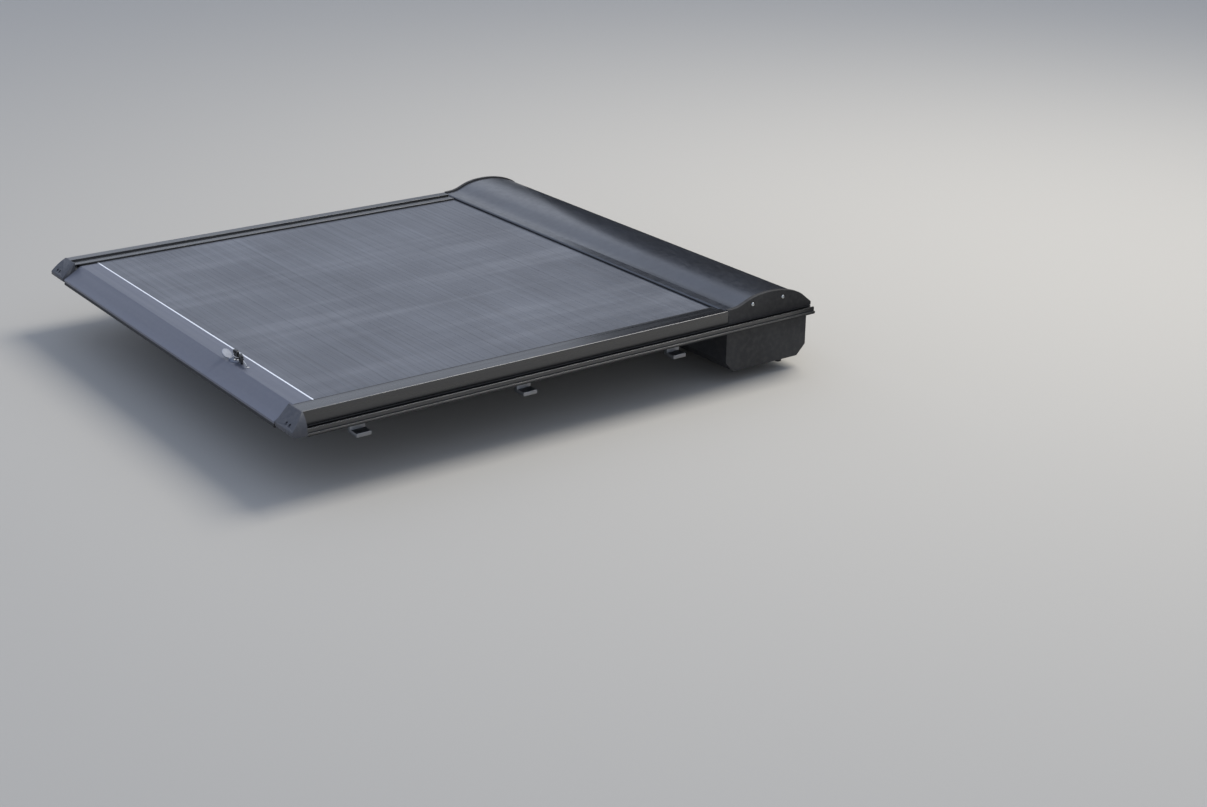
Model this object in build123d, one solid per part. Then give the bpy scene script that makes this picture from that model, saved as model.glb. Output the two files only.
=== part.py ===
"""Roll-up tonneau cover for a pickup bed: rails, slatted curtain, locking lead rail, drum and canister.

Frame, in millimetres: X across the bed, +Y towards the cab, +Z up. The origin is on the centre plane,
level with the rear ends of the rails, on the plane where the rail gaskets sit on the bed's side walls.
"""
import os
from math import cos, radians, sin

from build123d import *

# ---- driving dimensions -------------------------------------------------------------------------
RAIL_OUT = 719.0  # outer face of a side rail, from the centre plane
RAIL_TOP = 56.0  # height of the rail's outer ridge above the bed wall
RAIL_REAR = 2.0  # where the rail extrusion starts
FRONT = 1556.0  # front end of rails and canister
MOUTH = 1262.0  # where the curtain enters the canister
WALL = 3.0  # rail wall thickness

LIP_EDGE = 657.0  # inner edge of the rail's lip, over the curtain
LIP_TOP = 51.0
CHANNEL_FLOOR = 36.0
CHANNEL_TOP = 48.0
WEB_IN = 690.0  # inner face of the rail's box section
LEDGE = 18.0  # top of the accessory slot's lips
FOOT_OUT = 741.0
SEAT = 3.0  # underside of the rail's foot, on top of its gasket

SLAT_PITCH = 34.3
SLAT_GAP = 0.4
SLAT_THICK = 8.9
SLAT_BOTTOM = 37.6
SLAT_HALF = 703.0  # half length of a slat
SLATS_PER_NODE = 4
SLAT_NODES = 9
SLAT_STEP = 0.02  # each run of slats sits this much lower than the one behind it
CURTAIN_REAR = 71.2  # where the first slat starts, in front of the lead rail

LEAD_TOP = 47.0  # flat top of the lead rail
LEAD_HALF = 646.0
LEAD_FLAT = (16.0, 66.0)  # rear and front of the flat top
LEAD_REAR = -36.5
LEAD_BOTTOM = 22.0
LEAD_WALL = 2.5

LOCK_X, LOCK_Y = 302.0, 38.0
HINGE_X, HINGE_Z = LOCK_X - 17.5, LEAD_TOP + 2.6  # pin of the dust cover
RIVET_X = LOCK_X + 64.0
CAM_ARM = 12.0  # throw of the cam pins, and travel of the rods
ROD_RADIUS = 3.0
ROD_Z = 41.5
ROD_TIP = 688.0

DRUM_Y, DRUM_Z = 1408.0, -32.0
DRUM_RADIUS = 30.0
SHAFT_RADIUS = 8.0
RUNNING_GAP = 0.05
TRAY_HALF = 705.3
TRAY_SHEET = 2.0
PANEL = 3.0  # thickness of the tray's end panels
ROLLER_Y, ROLLER_Z, ROLLER_RADIUS = 1287.0, 26.0, 10.5
PLATE_FOOT = 20.0  # underside of the canister's end plates
SPOUT_X, SPOUT_Y, SPOUT_BORE, SPOUT_OUT = 660.0, 1500.0, 7.5, 9.5

CLAMP_YS = (150.0, 620.0, 1090.0)
CLAMP_X = 701.0
FLANGE_GAP = 24.0  # thickest bed flange that the clamps take

SIDES = {"left": -1, "right": 1}
os.makedirs("parts", exist_ok=True)


# ---- helpers ------------------------------------------------------------------------------------
def save(name, shape):
    """Write one node."""
    export_step(shape, f"parts/{name}.step")


def face_of(points):
    """A flat face bounded by straight lines through the points."""
    return make_face(Polyline(*points, close=True))


def along_x(section, x0, x1):
    """Extrude a (y, z) section from x0 to x1."""
    return extrude(Plane.YZ.offset(x0) * section, amount=x1 - x0)


def along_y(section, y0, y1):
    """Extrude an (x, z) section from y0 to y1."""
    start = Plane(origin=(0, y0, 0), x_dir=(1, 0, 0), z_dir=(0, -1, 0))
    return extrude(start * section, amount=y1 - y0, dir=(0, 1, 0))


def block(x, y, z):
    """A box given by its (low, high) pairs."""
    return Pos(sum(x) / 2, sum(y) / 2, sum(z) / 2) * Box(x[1] - x[0], y[1] - y[0], z[1] - z[0])


def rod_x(x0, x1, y, z, radius):
    """A round bar along X."""
    return along_x(Pos(y, z) * Circle(radius), x0, x1)


def rod_y(y0, y1, x, z, radius):
    """A round bar along Y."""
    return along_y(Pos(x, z) * Circle(radius), y0, y1)


def rod_z(z0, z1, x, y, radius):
    """A round bar along Z."""
    return Pos(x, y, z0) * extrude(Circle(radius), amount=z1 - z0)


def on_side(shape, side):
    """The right-hand shape as it is, or mirrored to the left."""
    return shape if side > 0 else mirror(shape, about=Plane.YZ)


def near(vertices, *places):
    """The vertices that lie at the given (x, y) places of a sketch."""
    return [v for v in vertices if any(abs(v.X - x) + abs(v.Y - y) < 0.01 for x, y in places)]


# ---- side rails ---------------------------------------------------------------------------------
SCREW_PORTS = ((WEB_IN + 6.5, 26.0), (RAIL_OUT - 6.5, 26.0))
SLOT_INNER, SLOT_OUTER = RAIL_OUT + 3.0, RAIL_OUT + 12.0  # mouth of the accessory slot
LIP_OUT = SLOT_OUTER + 5.0
LAND_IN = 689.0  # inner edge of the raised land along the ridge


def rail_section():
    """Land, lip, curtain channel, box section, accessory slot and foot, as one extruded profile."""
    land_under = RAIL_TOP - WALL
    hook = LEDGE - WALL
    outline = face_of([
        (RAIL_OUT, RAIL_TOP), (RAIL_OUT, LEDGE), (SLOT_INNER, LEDGE), (SLOT_INNER, hook),
        (RAIL_OUT, hook), (RAIL_OUT, SEAT + 4), (LIP_OUT - 2.5, SEAT + 4), (LIP_OUT - 2.5, hook),
        (SLOT_OUTER, hook), (SLOT_OUTER, LEDGE), (LIP_OUT, LEDGE), (LIP_OUT, SEAT + 4),
        (FOOT_OUT, SEAT + 4), (FOOT_OUT, SEAT), (WEB_IN, SEAT), (WEB_IN, CHANNEL_FLOOR - WALL),
        (LIP_EDGE, CHANNEL_FLOOR - WALL), (LIP_EDGE, CHANNEL_FLOOR),
        (RAIL_OUT - WALL, CHANNEL_FLOOR), (RAIL_OUT - WALL, land_under),
        (LAND_IN + WALL, land_under), (LAND_IN + WALL, CHANNEL_TOP),
        (LIP_EDGE, CHANNEL_TOP), (LIP_EDGE, LIP_TOP), (LAND_IN, LIP_TOP), (LAND_IN, RAIL_TOP),
    ])
    outline = fillet(near(outline.vertices(), (RAIL_OUT, RAIL_TOP)), 2.0)
    soft = [(LAND_IN, RAIL_TOP), (LIP_EDGE, LIP_TOP), (LIP_OUT, LEDGE), (FOOT_OUT, SEAT + 4)]
    outline = fillet(near(outline.vertices(), *soft), 0.8)
    chamber = face_of([
        (WEB_IN + WALL, SEAT + 4), (RAIL_OUT - WALL, SEAT + 4),
        (RAIL_OUT - WALL, CHANNEL_FLOOR - WALL), (WEB_IN + WALL, CHANNEL_FLOOR - WALL),
    ])
    section = outline - chamber
    for x, z in SCREW_PORTS:
        section = section + (Pos(x, z) * Circle(4.2) & chamber)
        section = section - Pos(x, z) * Circle(1.9)
    return section


def make_rail():
    """The right-hand rail, cut away at the front to leave its wall, slot and foot under the canister."""
    rail = along_y(rail_section(), RAIL_REAR, FRONT)
    inner_cut = TRAY_HALF + PANEL + 0.4
    rail -= block((LIP_EDGE - 5, inner_cut), (MOUTH, FRONT + 1), (0, RAIL_TOP + 5))
    rail -= block((inner_cut - 1, RAIL_OUT + 1), (MOUTH + 3, FRONT + 1), (PLATE_FOOT, RAIL_TOP + 5))
    rail -= block((inner_cut - 1, RAIL_OUT - WALL), (MOUTH, FRONT + 1), (SEAT + 4, RAIL_TOP + 5))
    for y in CLAMP_YS:
        rail -= rod_z(0, SEAT + 5, CLAMP_X, y, 4.5)
    return rail


def make_end_cap():
    """Wedge that closes a rail's rear end and flares over the accessory slot."""
    low = RAIL_TOP - 38.0
    wedge = face_of([
        (RAIL_REAR, RAIL_TOP), (-1, RAIL_TOP), (-38, low), (-38, 9), (-30, SEAT), (RAIL_REAR, SEAT),
    ])
    wedge = fillet(near(wedge.vertices(), (-1, RAIL_TOP), (-38, low)), 1.5)
    flare = make_face(
        Line((LIP_EDGE - 1.5, SEAT), (FOOT_OUT, SEAT))
        + Line((FOOT_OUT, SEAT), (FOOT_OUT - 1, low))
        + ThreePointArc((FOOT_OUT - 1, low), (RAIL_OUT + 12, RAIL_TOP - 13), (RAIL_OUT, RAIL_TOP))
        + Line((RAIL_OUT, RAIL_TOP), (LIP_EDGE - 1.5, RAIL_TOP))
        + Line((LIP_EDGE - 1.5, RAIL_TOP), (LIP_EDGE - 1.5, SEAT))
    )
    cap = along_x(wedge, LIP_EDGE - 2, FOOT_OUT + 1) & along_y(flare, -40, RAIL_REAR)
    for x, z in SCREW_PORTS:
        cap -= rod_y(-40, -8, x, z, 4.2) + rod_y(-9, RAIL_REAR, x, z, 2.2)
    return cap


def make_striker(name):
    """Block in the rail's channel that a lock rod's tip enters."""
    body = block((ROD_TIP + 5, RAIL_OUT - WALL), (16, 62), (CHANNEL_FLOOR + 1.2, CHANNEL_TOP + 3))
    return body - rod_x(ROD_TIP, RAIL_OUT, ROD_LINES[name], ROD_Z, ROD_RADIUS + 0.4)


def cap_screw(x, z):
    """Pan-head screw that holds an end cap to a screw port."""
    head = rod_y(-11, -8, x, z, 3.8) - rod_y(-11.5, -9.8, x, z, 1.4)
    return head + rod_y(-8, 18, x, z, 1.9)


# ---- canister -----------------------------------------------------------------------------------
PLATE_IN = TRAY_HALF + PANEL
PLATE_OUT = RAIL_OUT + 0.5
SCREW_SPOTS = ((1349.0, 60.0), (1455.0, 62.0))
ARCH = ((1290.0, 59.5), (1339.0, 75.0), (1409.0, 85.0), (1480.0, 76.0), (1530.0, 53.0))
LID_DROP = 3.5  # the lid sits this far below the end plates' edge


def arch_line(drop):
    """Crown of the canister from rear to front, lowered by drop."""
    return Spline(*[(y, z - drop) for y, z in ARCH], tangents=[(1, 0.12), (1, -0.85)])


def make_end_plate():
    """Arched plate at the end of the canister, with a rear tongue that meets the rail's top."""
    rear, front = (MOUTH + 3.5, 58.0), (FRONT + 2, 30.0)
    crown = arch_line(0)
    outline = make_face(
        Line((rear[0], PLATE_FOOT), rear) + Line(rear, crown @ 0) + crown + Line(crown @ 1, front)
        + Line(front, (front[0], PLATE_FOOT)) + Line((front[0], PLATE_FOOT), (rear[0], PLATE_FOOT))
    )
    plate = along_x(outline, PLATE_IN, PLATE_OUT)
    outer = plate.faces().sort_by(Axis.X)[-1]
    plate = fillet(outer.edges().filter_by(lambda e: e.center().Z > PLATE_FOOT + 14), 1.5)
    for y, z in SCREW_SPOTS:
        plate -= rod_x(PLATE_IN - 1, PLATE_OUT + 1, y, z, 2.6)
    return plate


def plate_screw(y, z):
    """Button-head screw through an end plate into the lid's end."""
    head = rod_x(PLATE_OUT, PLATE_OUT + 2.8, y, z, 5.5) - rod_x(PLATE_OUT + 1, PLATE_OUT + 3, y, z, 2.0)
    rims = head.edges().filter_by(GeomType.CIRCLE).group_by(Axis.X)[-1]
    head = fillet(rims.sort_by(SortBy.RADIUS)[-1], 1.2)
    return head + rod_x(TRAY_HALF + 0.4, PLATE_OUT, y, z, 2.5)


def make_lid():
    """Curved cover sheet between the end plates, with a turned-down lip over the curtain."""
    half = PLATE_IN - 0.3
    thick = 2.5
    crown = arch_line(LID_DROP)
    lip_y = MOUTH + 0.5
    outer = (
        Line((lip_y, 50.5), (lip_y, 52.5)) + Line((lip_y, 52.5), (lip_y + 3, 55.0))
        + Line((lip_y + 3, 55.0), crown @ 0) + crown + Line(crown @ 1, (FRONT - 1, 28.0))
    )
    inner_crown = Spline(
        (1290.5, 53.5), (1340.0, 68.9), (1409.0, 79.0), (1478.6, 70.2), (1528.0, 47.9),
        tangents=[(1, 0.12), (1, -0.85)],
    )
    inner = (
        Line((FRONT - 1, 28.0), (FRONT - 1 - thick, 26.5)) + Line((FRONT - 1 - thick, 26.5), inner_crown @ 1)
        + inner_crown + Line(inner_crown @ 0, (lip_y + thick + 1, 52.2))
        + Line((lip_y + thick + 1, 52.2), (lip_y + thick, 50.5)) + Line((lip_y + thick, 50.5), (lip_y, 50.5))
    )
    return along_x(make_face(outer + inner), -half, half)


def tray_line(inset):
    """Bottom of the canister in section, inset by its sheet's thickness or not at all."""
    i = inset
    return [
        (MOUTH + 10 + i, 20.0), (MOUTH + 10 + i, -97 + i * 0.4), (MOUTH + 38 + i * 0.4, -125 + i),
        (FRONT - 31 - i * 0.4, -125 + i), (FRONT - 2 - i, -96 + i * 0.4), (FRONT - 2 - i, 25.0),
    ]


def make_tray():
    """Folded sheet trough that holds the drum, with a drain hole at each end."""
    tray = along_x(face_of(tray_line(0) + tray_line(TRAY_SHEET)[::-1]), -TRAY_HALF, TRAY_HALF)
    for side in SIDES.values():
        tray -= rod_z(-126, -122, side * SPOUT_X, SPOUT_Y, SPOUT_BORE)
    return tray


def make_tray_end():
    """End panel of the trough, rising behind the end plate to carry the lid."""
    y0, y1 = MOUTH + 10, FRONT - 2
    panel = face_of([
        (y0, 33), (y0, -97), (MOUTH + 38, -125), (FRONT - 31, -125), (y1, -96),
        (y1, 25), (1500, 50), (1440, 66), (1350, 62), (1300, 49),
    ])
    end = along_x(panel, TRAY_HALF, PLATE_IN)
    for y, z in SCREW_SPOTS:
        end -= rod_x(TRAY_HALF - 1, PLATE_IN + 1, y, z, 2.6)
    return end


def make_spout(x):
    """Flanged hose spout under a drain hole."""
    spout = rod_z(-128, -125, x, SPOUT_Y, 15) + rod_z(-150, -128, x, SPOUT_Y, SPOUT_OUT)
    return spout - rod_z(-151, -124, x, SPOUT_Y, SPOUT_BORE)


# ---- drum ---------------------------------------------------------------------------------------
SHAFT_HALF = 700.0
BRACKET_IN = 694.0
DRUM_HALF = 690.0
BUSH_LENGTH = 25.0
TUBE_WALL = 2.5
WRAP_SIDES = 6


def make_shaft():
    """Fixed axle with a flat at each end that stops it turning in its brackets."""
    shaft = rod_x(-SHAFT_HALF, SHAFT_HALF, DRUM_Y, DRUM_Z, SHAFT_RADIUS)
    flat = DRUM_Z + SHAFT_RADIUS - 2.5
    for ends in ((-SHAFT_HALF - 1, -BRACKET_IN), (BRACKET_IN, SHAFT_HALF + 1)):
        shaft -= block(ends, (DRUM_Y - 10, DRUM_Y + 10), (flat, flat + 10))
    return shaft


def make_bracket():
    """Block on a tray end that grips the axle's flatted end."""
    body = block((BRACKET_IN, TRAY_HALF), (DRUM_Y - 24, DRUM_Y + 24), (DRUM_Z - 24, DRUM_Z + 24))
    body = fillet(body.edges().filter_by(Axis.X), 8)
    bore = rod_x(BRACKET_IN - 1, SHAFT_HALF, DRUM_Y, DRUM_Z, SHAFT_RADIUS)
    flat = DRUM_Z + SHAFT_RADIUS - 2.5
    key_flat = block((BRACKET_IN - 2, SHAFT_HALF + 1), (DRUM_Y - 10, DRUM_Y + 10), (flat, flat + 10))
    return body - (bore - key_flat)


def make_bush(x0, x1):
    """Bearing bush pressed into the drum tube and running on the axle."""
    return (
        rod_x(x0, x1, DRUM_Y, DRUM_Z, DRUM_RADIUS - TUBE_WALL)
        - rod_x(x0 - 1, x1 + 1, DRUM_Y, DRUM_Z, SHAFT_RADIUS + RUNNING_GAP)
    )


def make_wrap():
    """First turn of slats round the drum, six mitred staves."""
    inner = DRUM_RADIUS + 0.3
    outer = inner + SLAT_THICK
    half_turn = 180 / WRAP_SIDES
    spread = [s * (r * sin(radians(half_turn)) / cos(radians(half_turn)) - 0.3)
              for r, s in ((inner, -1), (inner, 1), (outer, 1), (outer, -1))]
    stave = face_of(list(zip(spread, (inner, inner, outer, outer))))
    staves = [Pos(DRUM_Y, DRUM_Z) * Rot(0, 0, 2 * half_turn * i) * stave for i in range(WRAP_SIDES)]
    return Compound(children=[along_x(s, -SLAT_HALF + 15, SLAT_HALF - 15) for s in staves])


def make_spring():
    """Torsion spring round the axle, inside the drum."""
    coil = Helix(pitch=14, height=22 * 14, radius=15)
    wire = Plane(origin=coil @ 0, z_dir=coil % 0) * Circle(1.8)
    spring = sweep(wire, path=coil, is_frenet=True)
    return Pos(280, DRUM_Y, DRUM_Z) * Rot(0, 90, 0) * spring


def make_roller():
    """Guide roller just inside the mouth, with a journal at each end."""
    roller = rod_x(-675, 675, ROLLER_Y, ROLLER_Z, ROLLER_RADIUS)
    return roller + rod_x(-700, 700, ROLLER_Y, ROLLER_Z, 4.0)


def make_roller_bracket():
    """Bearing block for a roller journal on a tray end."""
    body = block((690, TRAY_HALF), (MOUTH + 12.5, ROLLER_Y + 11), (ROLLER_Z - 14, ROLLER_Z + 8))
    return body - rod_x(689, 701, ROLLER_Y, ROLLER_Z, 4.0 + RUNNING_GAP)


# ---- curtain ------------------------------------------------------------------------------------
def slat_section():
    """Hollow slat: bead and neck at its front edge, socket at its rear edge, groove along its middle."""
    end = SLAT_PITCH - SLAT_GAP / 2
    skin = face_of([
        (0.8, 0), (33.0, 0), (33.0, 6.6), (end, 7.6), (end, 8.4), (end - 0.5, SLAT_THICK),
        (17.75, SLAT_THICK), (17.15, 8.4), (16.55, SLAT_THICK), (0.7, SLAT_THICK), (0.2, 8.4),
        (0.2, 6.0), (0.8, 6.0),
    ])
    socket = Pos(3.6, 3.2) * Circle(2.6) + Pos(1.5, 3.2) * Rectangle(4, 2.6)
    bead = Pos(35.4, 3.2) * Rectangle(5, 1.6) + Pos(SLAT_PITCH + 3.6, 3.2) * Circle(2.2)
    return skin - socket - Pos(19.7, 4.2) * Rectangle(23, 5.6) + bead


def make_slats(rear, drop):
    """A run of linked slats starting at rear, lowered by drop."""
    section = slat_section()
    return Compound(children=[
        along_x(Pos(rear + i * SLAT_PITCH, SLAT_BOTTOM - drop) * section, -SLAT_HALF, SLAT_HALF)
        for i in range(SLATS_PER_NODE)
    ])


def make_lead_in(rear):
    """Slats that bend down from the mouth to the drum."""
    y, z = rear + 5.0, SLAT_BOTTOM + SLAT_THICK / 2
    slats = []
    for angle in (-4, -12, -18):
        flat = Pos(SLAT_PITCH / 2, 0) * Rectangle(SLAT_PITCH - 2.2, SLAT_THICK)
        slat = Pos(y, z) * Rot(0, 0, angle) * flat
        slats.append(along_x(slat, -SLAT_HALF + 15, SLAT_HALF - 15))
        y += SLAT_PITCH * cos(radians(angle))
        z += SLAT_PITCH * sin(radians(angle))
    return Compound(children=slats)


# ---- lead rail ----------------------------------------------------------------------------------
def lead_outline():
    """Outer section of the lead rail: flat top, sloping rear face, nose and box."""
    return face_of([
        (LEAD_REAR, 10), (LEAD_REAR, 16), (LEAD_FLAT[0], LEAD_TOP), (LEAD_FLAT[1], LEAD_TOP),
        (LEAD_FLAT[1], LEAD_BOTTOM), (0, LEAD_BOTTOM), (-20, 10),
    ])


def make_lead_rail():
    """Hollow extrusion with the lock's hole through its flat top."""
    outline = lead_outline()
    section = outline - offset(outline, amount=-LEAD_WALL, kind=Kind.INTERSECTION)
    rail = along_x(section, -LEAD_HALF, LEAD_HALF)
    rail -= rod_z(LEAD_TOP - 5, LEAD_TOP + 1, LOCK_X, LOCK_Y, 12.0)
    return rail - rod_z(LEAD_TOP - 5, LEAD_TOP + 1, RIVET_X, LOCK_Y, 2.0)


def make_lead_end(rod_y_pos):
    """End plug of the lead rail with the shoe that glides in the rail's channel."""
    plug = along_x(lead_outline(), LEAD_HALF, LEAD_HALF + 4)
    plug += block((LEAD_HALF + 4, 655), (18, 66), (37.6, LEAD_TOP))
    plug += block((655, ROD_TIP), (18, 66), (38, 45.4))
    plug -= block((LEAD_HALF, 656), (14, 67), (LEAD_TOP - 1.6, LEAD_TOP + 1))
    return plug - rod_x(LEAD_HALF - 1, ROD_TIP + 1, rod_y_pos, ROD_Z, ROD_RADIUS + 0.3)


def make_tail_seal():
    """Rubber bulb along the lead rail's nose, which closes on the tailgate."""
    back = LEAD_REAR
    lip = face_of([(back, 10), (back - 1, 2), (back + 3, -1), (back + 8, 3), (back + 7, 10)])
    return along_x(fillet(lip.vertices().sort_by(Axis.Y)[:3], 1.5), -LEAD_HALF, LEAD_HALF)


# ---- lock ---------------------------------------------------------------------------------------
ROD_LINES = {"left": LOCK_Y - CAM_ARM, "right": LOCK_Y + CAM_ARM}
FORK_LEVELS = {"left": (27.2, 28.7), "right": (29.8, 31.3)}


def make_rod(name):
    """Lock rod with a drop leg and the fork that a cam pin drives."""
    side, y = SIDES[name], ROD_LINES[name]
    low, high = FORK_LEVELS[name]
    tip = side * ROD_TIP
    leg_x = LOCK_X + side * 24
    rod = rod_x(min(leg_x, tip), max(leg_x, tip), y, ROD_Z, ROD_RADIUS)
    rod += block(sorted((leg_x, leg_x + side * 4)), (y - 4, y + 4), (low, ROD_Z))
    base = (y + 5, y + 9) if y > LOCK_Y else (y - 9, y - 5)
    reach = (LOCK_Y - 3, y + 9) if y > LOCK_Y else (y - 9, LOCK_Y + 3)
    rod += block(sorted((leg_x + side * 4, LOCK_X - side * 9)), base, (low, high))
    rod += block(sorted((leg_x + side * 4, leg_x)), sorted((y, base[0])), (low, high))
    for x in (LOCK_X - 9, LOCK_X + 6):
        rod += block((x, x + 3), reach, (low, high))
    return rod


def make_cam():
    """Cam arm on the cylinder's tail with one pin for each rod's fork."""
    arm = block((LOCK_X - 5, LOCK_X + 5), (LOCK_Y - CAM_ARM, LOCK_Y + CAM_ARM), (33, 35))
    arm += rod_z(33, 35, LOCK_X, LOCK_Y + CAM_ARM, 5) + rod_z(33, 35, LOCK_X, LOCK_Y - CAM_ARM, 5)
    arm += rod_z(29.5, 33, LOCK_X, LOCK_Y + CAM_ARM, 2.4)
    return arm + rod_z(26.9, 33, LOCK_X, LOCK_Y - CAM_ARM, 2.4)


def make_lock_housing():
    """Lock case under the flat top, round the cylinder."""
    case = block((LOCK_X - 16, LOCK_X + 16), (LOCK_Y - 8.2, LOCK_Y + 8.2), (37, LEAD_TOP - LEAD_WALL))
    return case - rod_z(36, LEAD_TOP, LOCK_X, LOCK_Y, 7.5 + RUNNING_GAP)


HINGE_TURN = 25.0  # the dust cover's hinge is this far round from due left towards the rear
COVER_RAISED = 45.0  # how far the open dust cover stands up from lying flat


def at_hinge_side(shape):
    """Turn a shape drawn for a hinge due left of the lock round to the hinge's true side."""
    return Pos(LOCK_X, LOCK_Y, 0) * Rot(0, 0, HINGE_TURN) * Pos(-LOCK_X, -LOCK_Y, 0) * shape


def make_escutcheon():
    """Round collar on the flat top, with hinge ears for the dust cover."""
    collar = rod_z(LEAD_TOP, LEAD_TOP + 2.5, LOCK_X, LOCK_Y, 15.5)
    collar += rod_z(LEAD_TOP - LEAD_WALL, LEAD_TOP, LOCK_X, LOCK_Y, 12.0)
    collar = fillet(collar.edges().filter_by(GeomType.CIRCLE).sort_by(Axis.Z)[-1], 1.0)
    for side in (-1, 1):
        ear = (LOCK_Y + side * 6 - 1.5, LOCK_Y + side * 6 + 1.5)
        collar += block((HINGE_X - 1.8, LOCK_X - 12), ear, (LEAD_TOP, HINGE_Z + 1.6))
    collar -= rod_z(LEAD_TOP - 6, LEAD_TOP + 6, LOCK_X, LOCK_Y, 7.5 + RUNNING_GAP)
    return at_hinge_side(collar - rod_y(LOCK_Y - 9, LOCK_Y + 9, HINGE_X, HINGE_Z, 1.0 + RUNNING_GAP))


def make_dust_cover():
    """Round flap, folded open and standing part raised beside the lock, with its hinge pin."""
    centre = HINGE_X - 16
    flap = rod_z(LEAD_TOP + 0.4, LEAD_TOP + 2.4, centre, LOCK_Y, 14.0)
    flap = fillet(flap.edges().filter_by(GeomType.CIRCLE).sort_by(Axis.Z)[-1], 0.8)
    flap += block((centre + 8, HINGE_X), (LOCK_Y - 4, LOCK_Y + 4), (LEAD_TOP + 0.8, LEAD_TOP + 2.4))
    flap += rod_y(LOCK_Y - 4, LOCK_Y + 4, HINGE_X, HINGE_Z, 1.8)
    flap += rod_y(LOCK_Y - 8, LOCK_Y + 8, HINGE_X, HINGE_Z, 1.0)
    pin = Pos(HINGE_X, LOCK_Y, HINGE_Z)
    return at_hinge_side(pin * Rot(0, COVER_RAISED, 0) * pin.inverse() * flap)


KEY_BLADE = (7.0, 2.2)  # width and thickness of a key's blade


def make_cylinder():
    """Turning plug of the lock with its keyway and tail."""
    plug = rod_z(36, LEAD_TOP + 2.2, LOCK_X, LOCK_Y, 7.5)
    plug = chamfer(plug.edges().filter_by(GeomType.CIRCLE).sort_by(Axis.Z)[-1], 0.6)
    keyway = block(*key_span(40.0, LEAD_TOP + 5))
    return plug - keyway + rod_z(35, 36, LOCK_X, LOCK_Y, 3.5)


def key_span(z0, z1):
    """Box limits of the key's blade in the lock."""
    width, thick = KEY_BLADE
    return (LOCK_X - width / 2, LOCK_X + width / 2), (LOCK_Y - thick / 2, LOCK_Y + thick / 2), (z0, z1)


BOW_LOW, BOW_TOP, BOW_HOLE = 4.0, 26.0, 19.5  # heights on a key, above the lock's face
HOLE_RADIUS = 3.5


def key_bow():
    """Moulded head of a key, upright in the XZ plane, with its base line at z = 0."""
    outline = Pos(0, (BOW_LOW + BOW_TOP) / 2) * RectangleRounded(24, BOW_TOP - BOW_LOW, 7)
    bow = along_y(outline - Pos(0, BOW_HOLE) * Circle(HOLE_RADIUS), -3.2, 3.2)
    bow = fillet(bow.faces().filter_by(Axis.Y).edges(), 0.8)
    return bow + along_y(Pos(0, BOW_LOW + 2) * Rectangle(13, 8), -2.4, 2.4)


def key_blade(depth):
    """Flat blade below a key's head, with cut notches where it shows."""
    width, thick = KEY_BLADE
    return block((-width / 2, width / 2), (-thick / 2, thick / 2), (-depth, BOW_LOW - 2))


RING_RADIUS, RING_WIRE, RING_TILT = 12.0, 0.9, 72.0


def ring_centre():
    """Centre of the split ring, which leans away from the key in the lock."""
    face = LEAD_TOP + 2.2
    dx, dz = RING_RADIUS * sin(radians(RING_TILT)), RING_RADIUS * cos(radians(RING_TILT))
    return LOCK_X + dx, LOCK_Y, face + BOW_HOLE - dz


def make_ring():
    """Ring through the key's hole, leaning over on one side of it."""
    return Pos(*ring_centre()) * Rot(0, 90 - RING_TILT, 0) * Torus(RING_RADIUS, RING_WIRE)


SPARE_LEAN, SPARE_YAW = 8.0, -8.0  # how far the spare key points down, and aside


def spare_key_place():
    """Place of the spare key: threaded on the ring's far side, its head's edge down on the lead rail."""
    x, y, z = ring_centre()
    far = (2 * x - LOCK_X + 0.5, y, 2 * z - (LEAD_TOP + 2.2 + BOW_HOLE) - 0.9)
    return Pos(*far) * Rot(0, 0, SPARE_YAW) * Rot(0, SPARE_LEAN - 90, 0) * Pos(0, 0, -BOW_HOLE)


# ---- clamps -------------------------------------------------------------------------------------
def make_clamp(y):
    """Jaw that hooks under the bed wall's flange."""
    heel = block((CLAMP_X - 7, CLAMP_X + 7), (y - 20, y + 20), (-FLANGE_GAP - 10, SEAT))
    heel += block((CLAMP_X + 7, RAIL_OUT + 18), (y - 20, y + 20), (-FLANGE_GAP - 10, -FLANGE_GAP))
    return heel - rod_z(-FLANGE_GAP - 11, SEAT + 1, CLAMP_X, y, 4.5)


def hexagon(z0, z1, y):
    """Hexagonal head or nut for an M8 thread on a clamp's axis."""
    return Pos(CLAMP_X, y, z0) * extrude(RegularPolygon(6.5, 6, major_radius=False), amount=z1 - z0)


def make_clamp_bolt(y):
    """Bolt from under the jaw up through the rail's foot."""
    low = -FLANGE_GAP - 10
    return hexagon(low - 5.3, low, y) + rod_z(low, SEAT + 16, CLAMP_X, y, 4.0)


def make_clamp_nut(y):
    """Nut inside the rail's box section."""
    return hexagon(SEAT + 4, SEAT + 10.5, y) - rod_z(SEAT, SEAT + 12, CLAMP_X, y, 4.0)


# ---- build --------------------------------------------------------------------------------------
def both_sides(shape):
    """Left and right copies as separate solids of one node."""
    return Compound(children=[on_side(shape, side) for side in SIDES.values()])


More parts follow.
